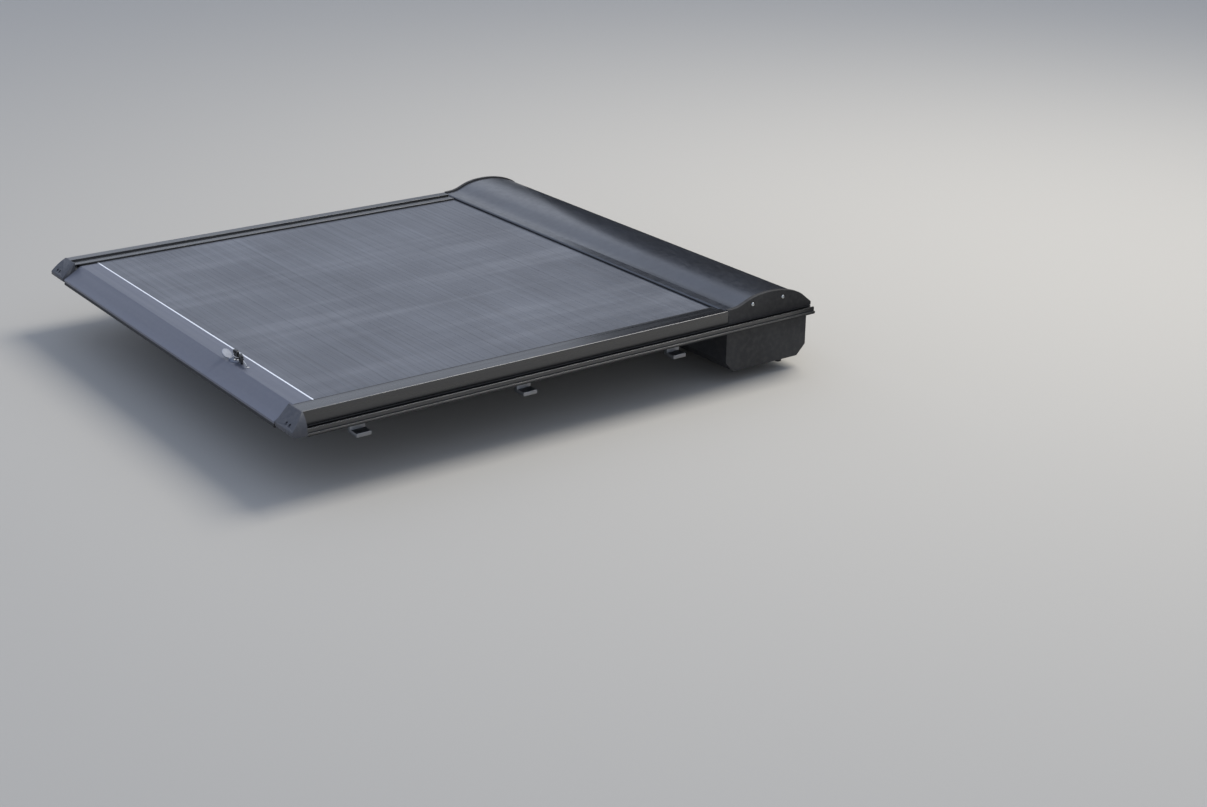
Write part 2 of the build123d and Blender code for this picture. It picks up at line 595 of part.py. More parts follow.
def build_rails():
    """Everything that is fixed along the sides of the bed."""
    rail, cap = make_rail(), make_end_cap()
    gasket = block((CLAMP_X + 8, FOOT_OUT - 1), (RAIL_REAR, FRONT), (0, SEAT))
    wiper = block((LIP_EDGE - 4, LIP_EDGE), (RAIL_REAR + 14, MOUTH - 3), (LEAD_TOP + 0.3, LIP_TOP - 0.4))
    glide_x, glide_z = (LIP_EDGE + 2, RAIL_OUT - WALL - 1), (CHANNEL_FLOOR, CHANNEL_FLOOR + 1.2)
    glide = block(glide_x, (RAIL_REAR + 2, MOUTH - 2), glide_z)
    for name, side in SIDES.items():
        save(f"rail_{name}", on_side(rail, side))
        save(f"end_cap_{name}", on_side(cap, side))
    save("rail_gaskets", both_sides(gasket))
    save("rail_wipers", both_sides(wiper))
    save("rail_glides", both_sides(glide))
    strikers = [on_side(make_striker(name), side) for name, side in SIDES.items()]
    save("lock_strikers", Compound(children=strikers))
    screws = [on_side(cap_screw(x, z), side) for side in SIDES.values() for x, z in SCREW_PORTS]
    save("end_cap_screws", Compound(children=screws))
    makers = {"clamp_jaws": make_clamp, "clamp_bolts": make_clamp_bolt, "clamp_nuts": make_clamp_nut}
    for node, maker in makers.items():
        pieces = [on_side(maker(y), side) for side in SIDES.values() for y in CLAMP_YS]
        save(node, Compound(children=pieces))


def build_canister():
    """The housing at the front and what is fixed inside it."""
    plate, end = make_end_plate(), make_tray_end()
    for name, side in SIDES.items():
        save(f"end_plate_{name}", on_side(plate, side))
        save(f"tray_end_{name}", on_side(end, side))
    screws = [on_side(plate_screw(y, z), side) for side in SIDES.values() for y, z in SCREW_SPOTS]
    save("end_plate_screws", Compound(children=screws))
    save("canister_lid", make_lid())
    save("canister_tray", make_tray())
    over_slats = SLAT_BOTTOM + SLAT_THICK + 0.4
    save("mouth_wiper", block((-700, 700), (MOUTH + 0.5, MOUTH + 3), (over_slats, 50.5)))
    save("bulkhead_seal", block((-690, 690), (FRONT - 2, FRONT + 4), (-15, 15)))
    save("drain_spouts", Compound(children=[make_spout(side * SPOUT_X) for side in SIDES.values()]))
    save("drum_shaft", make_shaft())
    save("shaft_brackets", both_sides(make_bracket()))
    save("roller_brackets", both_sides(make_roller_bracket()))
    save("torsion_spring", make_spring())
    collar = rod_x(258, 272, DRUM_Y, DRUM_Z, 19) - rod_x(257, 273, DRUM_Y, DRUM_Z, SHAFT_RADIUS)
    save("spring_collar", collar)


def build_drum():
    """What turns inside the canister."""
    tube = rod_x(-DRUM_HALF, DRUM_HALF, DRUM_Y, DRUM_Z, DRUM_RADIUS)
    inside = rod_x(-DRUM_HALF - 1, DRUM_HALF + 1, DRUM_Y, DRUM_Z, DRUM_RADIUS - TUBE_WALL)
    save("drum_tube", tube - inside)
    bushes = [make_bush(-DRUM_HALF, -DRUM_HALF + BUSH_LENGTH), make_bush(DRUM_HALF - BUSH_LENGTH, DRUM_HALF)]
    save("drum_bushes", Compound(children=bushes))
    save("drum_wrap", make_wrap())
    save("guide_roller", make_roller())


def build_curtain():
    """The slatted curtain, from the lead rail to the drum."""
    run = SLATS_PER_NODE * SLAT_PITCH
    for i in range(SLAT_NODES):
        save(f"slats_{i + 1:02d}", make_slats(CURTAIN_REAR + i * run, i * SLAT_STEP))
    save("curtain_lead_in", make_lead_in(CURTAIN_REAR + SLAT_NODES * run))


def build_lead_rail():
    """The rail that leads the curtain, with its lock, rods and keys."""
    save("lead_rail", make_lead_rail())
    trim_x, trim_y = (-LIP_EDGE + 5, LIP_EDGE - 5), (LEAD_FLAT[1], CURTAIN_REAR - 0.6)
    save("lead_trim", block(trim_x, trim_y, (38, LEAD_TOP)))
    save("tail_seal", make_tail_seal())
    for name, side in SIDES.items():
        save(f"lead_end_{name}", on_side(make_lead_end(ROD_LINES[name]), side))
        save(f"lock_rod_{name}", make_rod(name))
    save("lock_housing", make_lock_housing())
    save("lock_escutcheon", make_escutcheon())
    save("dust_cover", make_dust_cover())
    save("lock_cylinder", make_cylinder())
    save("lock_cam", make_cam())
    rivet_head = rod_z(LEAD_TOP, LEAD_TOP + 1.2, RIVET_X, LOCK_Y, 3.5)
    save("band_rivet", rivet_head + rod_z(LEAD_TOP - 4, LEAD_TOP, RIVET_X, LOCK_Y, 2))
    face = Pos(LOCK_X, LOCK_Y, LEAD_TOP + 2.2)
    save("key_head", face * (key_bow() - key_blade(1)))
    save("key_blade", face * key_blade(9.2))
    save("key_ring", make_ring())
    place = spare_key_place()
    save("spare_key_head", place * (key_bow() - key_blade(1)))
    save("spare_key_blade", place * key_blade(27))


build_rails()
build_canister()
build_drum()
build_curtain()
build_lead_rail()
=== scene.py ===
"""Looks of a roll-up tonneau cover: finishes for its extrusions, and finely shaped seals, screws, keys and slats.

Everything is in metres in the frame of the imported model: X across the bed, +Y to the cab, +Z up. Sizes that a
maker would read off a drawing are given in millimetres and turned to metres by MM.
"""
import logging
import math
from dataclasses import dataclass
from enum import Enum
from typing import Any, Mapping, Sequence

import bmesh
import bpy
import numpy as np
from mathutils import Matrix, Vector


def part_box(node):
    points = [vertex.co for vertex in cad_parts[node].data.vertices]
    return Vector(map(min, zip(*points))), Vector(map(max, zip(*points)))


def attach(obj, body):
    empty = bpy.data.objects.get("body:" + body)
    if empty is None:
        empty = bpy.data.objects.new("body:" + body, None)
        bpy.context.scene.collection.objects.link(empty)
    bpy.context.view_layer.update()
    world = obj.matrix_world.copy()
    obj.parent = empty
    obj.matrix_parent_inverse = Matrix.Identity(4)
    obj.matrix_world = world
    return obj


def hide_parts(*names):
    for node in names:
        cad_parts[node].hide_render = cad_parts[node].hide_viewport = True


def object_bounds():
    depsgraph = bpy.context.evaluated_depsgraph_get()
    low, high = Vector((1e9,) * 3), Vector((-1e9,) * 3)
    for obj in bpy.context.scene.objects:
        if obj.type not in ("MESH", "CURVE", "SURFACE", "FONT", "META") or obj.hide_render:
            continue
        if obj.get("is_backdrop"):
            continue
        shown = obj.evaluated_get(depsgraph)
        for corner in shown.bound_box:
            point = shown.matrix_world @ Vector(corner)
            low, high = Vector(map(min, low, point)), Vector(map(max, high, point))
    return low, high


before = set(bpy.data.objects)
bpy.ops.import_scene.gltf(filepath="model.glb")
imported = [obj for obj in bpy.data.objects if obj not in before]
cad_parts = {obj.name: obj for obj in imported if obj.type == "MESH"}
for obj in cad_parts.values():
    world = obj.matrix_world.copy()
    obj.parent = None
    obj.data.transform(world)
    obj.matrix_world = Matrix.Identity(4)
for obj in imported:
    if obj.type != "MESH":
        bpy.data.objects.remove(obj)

MM = 0.001
LOG = logging.getLogger("tonneau")
NodeLinks = Mapping[str, Any]


# ---- small tools --------------------------------------------------------------------------------
def linear(colour: str) -> tuple[float, float, float, float]:
    """Turn an sRGB hex colour to linear light.

    Args:
        colour: Six hex digits after a hash.

    Returns:
        Linear red, green, blue, and an alpha of one. Each channel c becomes c/12.92 below 0.04045,
        and ((c + 0.055) / 1.055) to the power 2.4 above it.
    """
    channels = np.array([int(colour[i:i + 2], 16) for i in (1, 3, 5)]) / 255.0
    low, high = channels / 12.92, ((channels + 0.055) / 1.055) ** 2.4
    return (*np.where(channels <= 0.04045, low, high).tolist(), 1.0)


def add(tree: bpy.types.NodeTree, kind: str, links: NodeLinks | None = None, **settings: Any) -> bpy.types.Node:
    """Add a shader node with its settings and its inputs.

    Args:
        tree: The node tree that gets the node.
        kind: The node's type, without the word ShaderNode in front.
        links: Input name or number, to a value, a socket, or a (node, output name) pair.
        settings: Properties of the node itself.

    Returns:
        The new node.
    """
    node = tree.nodes.new("ShaderNode" + kind)
    for name, value in settings.items():
        setattr(node, name, value)
    for name, value in (links or {}).items():
        socket = node.inputs[name]
        if isinstance(value, tuple) and isinstance(value[0], bpy.types.Node):
            tree.links.new(value[0].outputs[value[1]], socket)
        elif isinstance(value, bpy.types.NodeSocket):
            tree.links.new(value, socket)
        else:
            socket.default_value = value
    return node


def ramp(tree: bpy.types.NodeTree, source: Any, stops: Sequence[tuple[float, str]]) -> bpy.types.NodeSocket:
    """Add a colour ramp.

    Args:
        tree: The node tree that gets the ramp.
        source: What drives it, as in add.
        stops: Place from 0 to 1 and hex colour of each stop, in order.

    Returns:
        The ramp's colour output.
    """
    node = add(tree, "ValToRGB", {"Fac": source})
    elements = node.color_ramp.elements
    while len(elements) < len(stops):
        elements.new(0.5)
    for element, (place, colour) in zip(elements, stops):
        element.position = place
        element.color = linear(colour)
    return node.outputs["Color"]


# ---- finishes -----------------------------------------------------------------------------------
class Grain(Enum):
    """How a finish's fine relief is laid out, as the stretch of its noise along X, Y and Z."""

    ROUND = (1.0, 1.0, 1.0)
    DRAWN_X = (0.02, 1.0, 1.0)
    DRAWN_Y = (1.0, 0.02, 1.0)


@dataclass(frozen=True)
class Finish:
    """A surface as its maker describes it.

    Args:
        name: Material name, for what it is and how it was made.
        dark: Colour of its darker patches.
        light: Colour of its lighter patches.
        roughness: Lowest and highest roughness over the surface.
        grain_mm: Width of one grain of the fine relief.
        relief_mm: Height of the fine relief.
        grain: Layout of the relief.
        metallic: 1 for bare metal.
        ior: Index of refraction of a plastic, rubber or paint.
        coat: Weight of a clear or glossy top layer.
        sheen: Weight of the soft haze that fine texture and dust give at low angles.
        patch_mm: Size of the colour patches.
        dust: Share of pale dust in the finish's hollows.
    """

    name: str
    dark: str
    light: str
    roughness: tuple[float, float]
    grain_mm: float
    relief_mm: float
    grain: Grain = Grain.ROUND
    metallic: float = 0.0
    ior: float = 1.5
    coat: float = 0.0
    sheen: float = 0.0
    patch_mm: float = 120.0
    dust: float = 0.0

    def noise(self, tree: bpy.types.NodeTree, size_mm: float, detail: float, stretch: Sequence[float]) -> Any:
        """Noise on Object coordinates.

        Args:
            tree: The node tree.
            size_mm: Size of one lump of the noise.
            detail: Number of finer layers.
            stretch: Factors on X, Y and Z; below one makes the lumps longer.

        Returns:
            The noise node and its output's name.
        """
        place = add(tree, "TexCoord")
        scaled = add(tree, "Mapping", {"Vector": (place, "Object"), "Scale": tuple(stretch)})
        noise = add(tree, "TexNoise", {"Vector": (scaled, "Vector"), "Scale": 1.0 / (size_mm * MM), "Detail": detail})
        return noise, "Fac"

    def colour(self, tree: bpy.types.NodeTree) -> bpy.types.NodeSocket:
        """Patchy colour between the dark and the light one, with dust on top.

        Args:
            tree: The node tree.

        Returns:
            The colour's socket.
        """
        patches = self.noise(tree, self.patch_mm, 4.0, self.grain.value)
        base = ramp(tree, patches, ((0.35, self.dark), (0.65, self.light)))
        if not self.dust:
            return base
        specks = self.noise(tree, self.patch_mm / 9.0, 6.0, (1.0, 1.0, 1.0))
        cover = add(tree, "MapRange", {"Value": specks, "From Min": 0.45, "From Max": 0.75, "To Max": self.dust})
        mixed = add(tree, "Mix", {"Factor": (cover, "Result"), 6: base, 7: linear("#8E8B84")}, data_type="RGBA")
        return mixed.outputs[2]

    def relief(self, tree: bpy.types.NodeTree) -> bpy.types.NodeSocket:
        """Fine relief of the surface as a normal.

        Args:
            tree: The node tree.

        Returns:
            The normal's socket.
        """
        grains = self.noise(tree, self.grain_mm, 3.0, self.grain.value)
        bump = add(tree, "Bump", {"Height": grains, "Distance": self.relief_mm * MM, "Strength": 1.0})
        return bump.outputs["Normal"]

    def build(self) -> bpy.types.Material:
        """Build the material, or give back the one already built.

        Returns:
            The material.
        """
        known = bpy.data.materials.get(self.name)
        if known:
            return known
        material = bpy.data.materials.new(self.name)
        material.use_nodes = True
        tree = material.node_tree
        shader = tree.nodes["Principled BSDF"]
        spread = self.noise(tree, self.grain_mm * 12.0, 3.0, self.grain.value)
        low, high = self.roughness
        limits = {"From Min": 0.3, "From Max": 0.7, "To Min": low, "To Max": high}
        rough = add(tree, "MapRange", {"Value": spread, **limits})
        tree.links.new(self.colour(tree), shader.inputs["Base Color"])
        tree.links.new(rough.outputs["Result"], shader.inputs["Roughness"])
        tree.links.new(self.relief(tree), shader.inputs["Normal"])
        shader.inputs["Metallic"].default_value = self.metallic
        if not self.metallic:
            shader.inputs["IOR"].default_value = self.ior
        shader.inputs["Coat Weight"].default_value = self.coat
        shader.inputs["Coat Roughness"].default_value = 0.25
        shader.inputs["Sheen Weight"].default_value = self.sheen
        shader.inputs["Sheen Roughness"].default_value = 0.5
        return material


@dataclass(frozen=True)
class SlatFinish(Finish):
    """Black anodised slats: die lines and dust streaks along X, under a slow cloud of haze."""

    def colour(self, tree: bpy.types.NodeTree) -> bpy.types.NodeSocket:
        """Streaks along each slat, and a slow change of tone from slat to slat.

        Args:
            tree: The node tree.

        Returns:
            The colour's socket.
        """
        streaks = self.noise(tree, 9.0, 5.0, (0.012, 1.0, 1.0))
        haze = self.noise(tree, 260.0, 3.0, (1.0, 1.0, 1.0))
        lengthwise = self.noise(tree, 60.0, 4.0, (1.0, 0.08, 1.0))
        base = ramp(tree, streaks, ((0.30, self.dark), (0.72, self.light)))
        cloud = ramp(tree, haze, ((0.30, "#C4C6CA"), (0.75, "#FFFFFF")))
        clouded = add(tree, "Mix", {"Factor": 1.0, 6: base, 7: cloud}, data_type="RGBA", blend_type="MULTIPLY")
        dust = add(tree, "MapRange", {"Value": lengthwise, "From Min": 0.5, "From Max": 0.8, "To Max": self.dust})
        mixed = add(tree, "Mix", {"Factor": (dust, "Result"), 6: clouded.outputs[2], 7: linear("#9A9CA2")},
                    data_type="RGBA")
        return mixed.outputs[2]


# Black anodised slats: a dull oxide skin that hazes pale in daylight, with faint lines from the die.
SLATS = SlatFinish("black_anodised_ribbed_slats", "#4A4D54", "#575B63", (0.42, 0.56), 0.9, 0.02, Grain.DRAWN_X,
                   ior=1.7, sheen=0.12, dust=0.16)
# Satin black anodised extrusion: smoother than the slats, mirrors the sky along its length.
RAIL_ALLOY = Finish("satin_black_anodised_extrusion", "#09090A", "#0D0E10", (0.24, 0.34), 0.8, 0.006, Grain.DRAWN_Y,
                    ior=1.85, coat=0.25, dust=0.01)
# Powder coat on aluminium: fine orange peel with a satin gloss.
POWDER = Finish("satin_black_powder_coat", "#181B21", "#1F232A", (0.28, 0.38), 1.4, 0.012, ior=1.95, coat=0.3,
                dust=0.02)
# The lead rail's coat is the same powder, made greyer as painted light: a lit copy of the powder that stands for the
# daylight on the rail.
LEAD_COAT_PAINTED_LIGHT = Finish("black_powder_coat_painted_light", "#464A56", "#525664", (0.38, 0.50), 1.2, 0.012, Grain.DRAWN_X,
                   ior=1.7, coat=0.1, sheen=0.06, dust=0.05)
# Matt textured powder: a sandy black that scatters all light.
MATT_POWDER = Finish("matt_textured_powder_coat", "#201F1F", "#2B2A29", (0.55, 0.72), 0.9, 0.03, ior=1.5, dust=0.05)
# Spark-eroded ABS moulding: a fine leathery grain.
GRAINED_ABS = Finish("grained_black_abs", "#3C3E44", "#484A50", (0.48, 0.62), 0.8, 0.05, ior=1.53, dust=0.10)
# Coated folded sheet of the trough: rolled sheet with a dull baked coat.
TROUGH_COAT = Finish("dull_black_coated_sheet", "#1C1D1F", "#27282A", (0.45, 0.60), 1.6, 0.01, ior=1.5, dust=0.06)
# EPDM rubber: deep matt black with a pale bloom.
RUBBER = Finish("extruded_epdm_rubber", "#0B0B0C", "#161617", (0.62, 0.80), 0.5, 0.01, Grain.DRAWN_X, ior=1.52,
                sheen=0.05, dust=0.05, patch_mm=40)
FOAM = Finish("closed_cell_foam_strip", "#111112", "#1C1C1D", (0.80, 0.95), 1.1, 0.09, ior=1.4, dust=0.08)
# Acetal: milky, waxy plastic.
ACETAL = Finish("natural_acetal", "#C9C6BB", "#D8D5CC", (0.34, 0.46), 0.6, 0.006, ior=1.48, patch_mm=30)
NYLON = Finish("moulded_black_nylon", "#131314", "#1D1D1F", (0.38, 0.52), 0.7, 0.012, ior=1.53, patch_mm=30)
# Zinc plate on steel: bright with a faint blue and yellow cast.
ZINC = Finish("bright_zinc_plated_steel", "#B4BAC2", "#CFCFC6", (0.22, 0.36), 0.5, 0.004, metallic=1.0, patch_mm=9)
OILED_STEEL = Finish("oiled_drawn_steel", "#6C6E70", "#85878A", (0.25, 0.42), 0.7, 0.006, Grain.DRAWN_X, metallic=1.0,
                     patch_mm=60)
MILL_ALLOY = Finish("mill_finish_aluminium", "#7F8184", "#94969A", (0.30, 0.46), 0.8, 0.008, Grain.DRAWN_X,
                    metallic=1.0, patch_mm=40)
# Aluminium trim along the lead rail: a real strip, but its near-white, partly diffuse colour is a painted highlight
# standing for the sunlit edge.
TRIM_WITH_PAINTED_HIGHLIGHT = Finish("aluminium_trim_painted_highlight", "#E4E7EE", "#F2F4F8", (0.20, 0.34), 0.6, 0.003, Grain.DRAWN_X,
                      metallic=0.6, patch_mm=60)
NICKEL = Finish("nickel_plated_brass", "#C9C5BD", "#D9D6D0", (0.10, 0.22), 0.4, 0.002, metallic=1.0, patch_mm=8)
# Black oxide on steel screws.
BLACK_STEEL = Finish("black_oxide_steel", "#17181A", "#242527", (0.30, 0.45), 0.5, 0.004, metallic=1.0, patch_mm=6)
CAST_ZINC = Finish("die_cast_zinc", "#85878B", "#999B9F", (0.35, 0.50), 0.7, 0.012, metallic=1.0, patch_mm=12)
# Grey moulded collar and cap of the lock, paler than everything round them.
GREY_ABS = Finish("grey_moulded_abs", "#7A808C", "#868C98", (0.40, 0.52), 0.6, 0.010, ior=1.53, patch_mm=12)
KEY_PLASTIC = Finish("glossy_black_key_moulding", "#0C0C0D", "#151516", (0.22, 0.34), 0.7, 0.006, ior=1.53, coat=0.2,
                     patch_mm=12)

FINISHES: dict[Finish, str] = {
    SLATS: "slats_01 slats_02 slats_03 slats_04 slats_05 slats_06 slats_07 slats_08 slats_09 curtain_lead_in drum_wrap",
    RAIL_ALLOY: "rail_left rail_right",
    POWDER: "canister_lid",
    LEAD_COAT_PAINTED_LIGHT: "lead_rail",
    MATT_POWDER: "end_plate_left end_plate_right",
    GRAINED_ABS: "end_cap_left end_cap_right lead_end_left lead_end_right",
    TROUGH_COAT: "canister_tray tray_end_left tray_end_right drum_tube",
    RUBBER: "rail_gaskets rail_wipers mouth_wiper tail_seal",
    FOAM: "bulkhead_seal",
    ACETAL: "rail_glides drum_bushes lock_strikers",
    NYLON: "drain_spouts roller_brackets",
    ZINC: "end_plate_screws clamp_bolts clamp_nuts",
    BLACK_STEEL: "end_cap_screws",
    OILED_STEEL: "drum_shaft torsion_spring lock_rod_left lock_rod_right lock_cam",
    MILL_ALLOY: "clamp_jaws shaft_brackets guide_roller spring_collar",
    TRIM_WITH_PAINTED_HIGHLIGHT: "lead_trim",
    NICKEL: "lock_cylinder key_blade spare_key_blade key_ring band_rivet",
    CAST_ZINC: "lock_housing",
    GREY_ABS: "lock_escutcheon dust_cover",
    KEY_PLASTIC: "key_head spare_key_head",
}


def dress_nodes() -> None:
    """Give every CAD node its finish."""
    for finish, names in FINISHES.items():
        material = finish.build()
        for name in names.split():
            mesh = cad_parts[name].data
            mesh.materials.clear()
            mesh.materials.append(material)
        LOG.info("finish %s on %s", finish.name, names)


# ---- shapes -------------------------------------------------------------------------------------
Array = np.ndarray


def rounded(corners: Sequence[tuple[float, float]], radius: float | Sequence[float], steps: int = 5) -> Array:
    """A closed outline with round corners.

    Each corner becomes an arc that touches both of its sides: with h half the corner's angle, the arc starts
    radius / tan(h) from the corner, and its centre is radius / sin(h) along the corner's bisector.

    Args:
        corners: The corners in order, in millimetres.
        radius: Radius of every corner, or one for each.
        steps: Points on each arc.

    Returns:
        Points of the outline, an array of (corners x steps, 2).
    """
    corner = np.asarray(corners, float)
    size = np.broadcast_to(np.asarray(radius, float), len(corner)).clip(0.02)[:, None]
    back, ahead = np.roll(corner, 1, 0) - corner, np.roll(corner, -1, 0) - corner
    back /= np.linalg.norm(back, axis=1, keepdims=True)
    ahead /= np.linalg.norm(ahead, axis=1, keepdims=True)
    half = np.arccos(np.clip((back * ahead).sum(1, keepdims=True), -0.9999, 0.9999)) / 2
    middle = back + ahead
    middle /= np.linalg.norm(middle, axis=1, keepdims=True)
    centre = corner + middle * size / np.sin(half)
    first, last = corner + back * size / np.tan(half) - centre, corner + ahead * size / np.tan(half) - centre
    start = np.arctan2(first[:, 1], first[:, 0])
    sweep = (np.arctan2(last[:, 1], last[:, 0]) - start + np.pi) % (2 * np.pi) - np.pi
    angle = start[:, None] + sweep[:, None] * np.linspace(0, 1, steps)
    arc = centre[:, None, :] + size[:, None] * np.stack((np.cos(angle), np.sin(angle)), -1)
    return arc.reshape(-1, 2)


def turned(radius: Array, height: Array, around: int = 48) -> Array:
    """Rings of a turned shape about Z: each point is (r cos a, r sin a, h), and r may change with the angle.

    Args:
        radius: Radius at each height, (heights,) or (heights, around).
        height: The heights, in the order of the skin.
        around: Points round each ring.

    Returns:
        Rings, an array of (heights, around, 3).
    """
    angle = np.linspace(0, 2 * np.pi, around, endpoint=False)
    size = radius[:, None] * np.ones(around) if radius.ndim == 1 else radius
    level = np.broadcast_to(height[:, None], size.shape)
    return np.stack((size * np.cos(angle), size * np.sin(angle), level), -1)


class Shape:
    """Closed skins gathered into one mesh, in millimetres until they become an object."""

    def __init__(self) -> None:
        """Start with no skins."""
        self.points: list[Array] = []
        self.faces: list[Array] = []
        self.total = 0

    def skin(self, rings: Array, loop: bool = False, place: Matrix | None = None) -> "Shape":
        """Join rings of points by quads, close both ends, and turn the faces outwards.

        The signed volume is a sixth of the sum of triple products over fans of each face. Where it is
        negative, every face is reversed.

        Args:
            rings: Points, an array of (rings, points round a ring, 3).
            loop: Whether the last ring joins the first, in place of two end faces.
            place: Where the skin goes, as a matrix in millimetres.

        Returns:
            The shape itself.
        """
        if place is not None:
            turn = np.array(place)
            rings = rings @ turn[:3, :3].T + turn[:3, 3]
        count, around = rings.shape[:2]
        points = rings.reshape(-1, 3)
        index = np.arange(count * around).reshape(count, around)
        ahead = np.roll(index, -1, 0) if loop else index[1:]
        here = index if loop else index[:-1]
        quads = np.stack((here, np.roll(here, -1, 1), np.roll(ahead, -1, 1), ahead), -1).reshape(-1, 4)
        groups = [quads] if loop else [quads, index[0][None, ::-1], index[-1][None, :]]
        volume = sum(self.volume(points, group) for group in groups)
        self.faces += [(group[:, ::-1] if volume < 0 else group) + self.total for group in groups]
        self.points.append(points)
        self.total += len(points)
        return self

    @staticmethod
    def volume(points: Array, faces: Array) -> float:
        """Signed volume between the origin and some faces.

        Args:
            points: All points.
            faces: Point numbers, an array of (faces, corners).

        Returns:
            The volume, times six.
        """
        base = points[faces[:, :1]]
        fan = np.cross(points[faces[:, 1:-1]], points[faces[:, 2:]])
        return float((base * fan).sum())

    def extrude(self, outline: Array, low: float, high: float, stations: int = 2) -> "Shape":
        """A (y, z) outline carried along X.

        Args:
            outline: Points of the outline.
            low: X of the first end.
            high: X of the other end.
            stations: Number of rings.

        Returns:
            The shape itself.
        """
        rings = np.empty((stations, len(outline), 3))
        rings[..., 0] = np.linspace(low, high, stations)[:, None]
        rings[..., 1:] = outline
        return self.skin(rings)

    def piece(self, name: str, finish: Finish, body: str, slot: str, nodes: Sequence[str] = (),
              sharp_deg: float = 32.0) -> bpy.types.Object:
        """Make the object, dress it and let it ride.

        Args:
            name: The piece's name.
            finish: Its finish.
            body: The body that it rides on.
            slot: The record's material slot; not used.
            nodes: CAD nodes that it stands for.
            sharp_deg: Edges sharper than this stay crisp.

        Returns:
            The object.
        """
        mesh = bpy.data.meshes.new(name)
        faces = [face for group in self.faces for face in group.tolist()]
        mesh.from_pydata((np.concatenate(self.points) * MM).tolist(), [], faces)
        mesh.shade_smooth()
        mesh.set_sharp_from_angle(angle=math.radians(sharp_deg))
        mesh.materials.append(finish.build())
        piece = bpy.data.objects.new(name, mesh)
        bpy.context.scene.collection.objects.link(piece)
        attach(piece, body)
        if nodes:
            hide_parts(*nodes)
        LOG.info("piece %s on %s, %d faces", name, body, len(faces))
        return piece


def softened(name: str, node: str, width_mm: float, finish: Finish, body: str = "frame",
             least_mm: float = 6.0) -> bpy.types.Object:
    """A copy of a CAD node with its long edges rounded.

    Args:
        name: The piece's name.
        node: The CAD node that it stands for.
        width_mm: Width of the rounding.
        finish: Its finish.
        body: The body that it rides on.
        least_mm: Shorter edges stay as they are.

    Returns:
        The object.
    """
    model = bmesh.new()
    model.from_mesh(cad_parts[node].data)
    bmesh.ops.remove_doubles(model, verts=model.verts, dist=1e-5)
    bmesh.ops.dissolve_limit(model, angle_limit=math.radians(0.6), verts=model.verts, edges=model.edges)
    edges = [e for e in model.edges if e.is_manifold and e.calc_length() > least_mm * MM
             and e.calc_face_angle(0.0) > math.radians(18)]
    bmesh.ops.bevel(model, geom=edges, offset=width_mm * MM, segments=3, profile=0.5, affect="EDGES",
                    clamp_overlap=True)
    mesh = bpy.data.meshes.new(name)
    model.to_mesh(mesh)
    model.free()
    mesh.shade_smooth()
    mesh.set_sharp_from_angle(angle=math.radians(35))
    mesh.materials.clear()
    mesh.materials.append(finish.build())
    piece = bpy.data.objects.new(name, mesh)
    bpy.context.scene.collection.objects.link(piece)
    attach(piece, body)
    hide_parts(node)
    LOG.info("piece %s on %s, softened by %.1f mm", name, body, width_mm)
    return piece


def middle(node: str) -> Array:
    """Centre of a CAD node's box, in millimetres."""
    low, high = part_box(node)
    return np.array((low + high) / 2) / MM


# ---- fasteners ----------------------------------------------------------------------------------
@dataclass(frozen=True)
class ButtonScrew:
    """Button-head screw with a six-lobed socket.

    Args:
        head_radius: Radius of the head.
        head_height: Height of the head.
        shank_radius: Radius of the shank.
        shank_length: Length of the shank.
        socket_radius: Mean radius of the socket.
    """

    head_radius: float
    head_height: float
    shank_radius: float
    shank_length: float
    socket_radius: float

    def rings(self) -> Array:
        """Shank, underside, domed head and socket, from the tip to the socket's floor.

        The dome is a quarter of an ellipse. The socket's radius is its mean times 1 + 0.12 cos 6a.

        Returns:
            Rings about Z, with the head's seat at z = 0.
        """
        arc = np.linspace(0, np.pi / 2, 7)[:-2]
        rise = 0.5 + (self.head_height - 0.5) * np.sin(arc)
        inward = self.socket_radius + 0.7 + (self.head_radius - self.socket_radius - 0.7) * np.cos(arc)
        radius = np.concatenate(([self.shank_radius - 0.6, self.shank_radius, self.shank_radius, self.head_radius - 0.3,
                                  self.head_radius, self.head_radius], inward,
                                 [self.socket_radius + 0.9, self.socket_radius + 0.2, self.socket_radius,
                                  self.socket_radius, self.socket_radius * 0.3]))
        top = self.head_height
        height = np.concatenate(([-self.shank_length, -self.shank_length + 0.6, 0, 0, 0.3, 0.5], rise,
                                 [top, top, top - 0.2, top * 0.35, top * 0.3]))
        angle = np.linspace(0, 2 * np.pi, 48, endpoint=False)
        lobed = np.zeros(len(radius))
        lobed[-4:] = 1.0
        return turned(radius[:, None] * (1 + 0.12 * lobed[:, None] * np.cos(6 * angle)), height)


